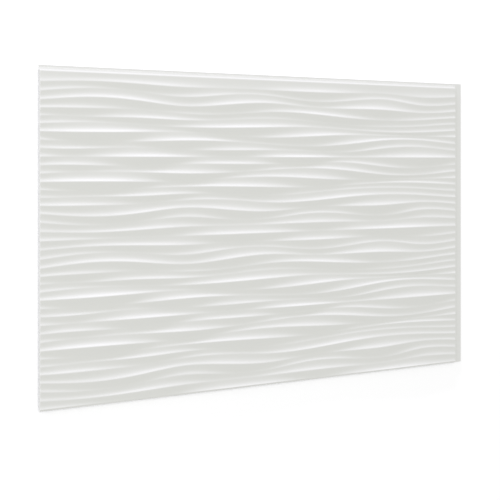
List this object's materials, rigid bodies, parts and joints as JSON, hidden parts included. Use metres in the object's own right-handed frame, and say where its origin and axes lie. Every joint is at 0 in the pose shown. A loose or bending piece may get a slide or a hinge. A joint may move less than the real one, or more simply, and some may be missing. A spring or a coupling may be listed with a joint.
{
  "type": "3d wall panel tile",
  "caption": "Flat rectangular wall tile with a moulded wave relief on its face, and half-lap edges that overlap the tiles beside it.",
  "frame": {"origin": "under the middle of the tile's whole outline, lips included, on the plane of its flat back", "axes": "+X along the tile's length towards the right lip, +Y up the tile as it hangs on the wall towards the top lip, +Z out of the face"},
  "size_m": [0.6626, 0.3784, 0.0055],
  "materials": {
    "white_pvc": "satin moulded white"
  },
  "bodies": {
    "root": {"wall_tile": "white_pvc"}
  },
  "joints": []
}
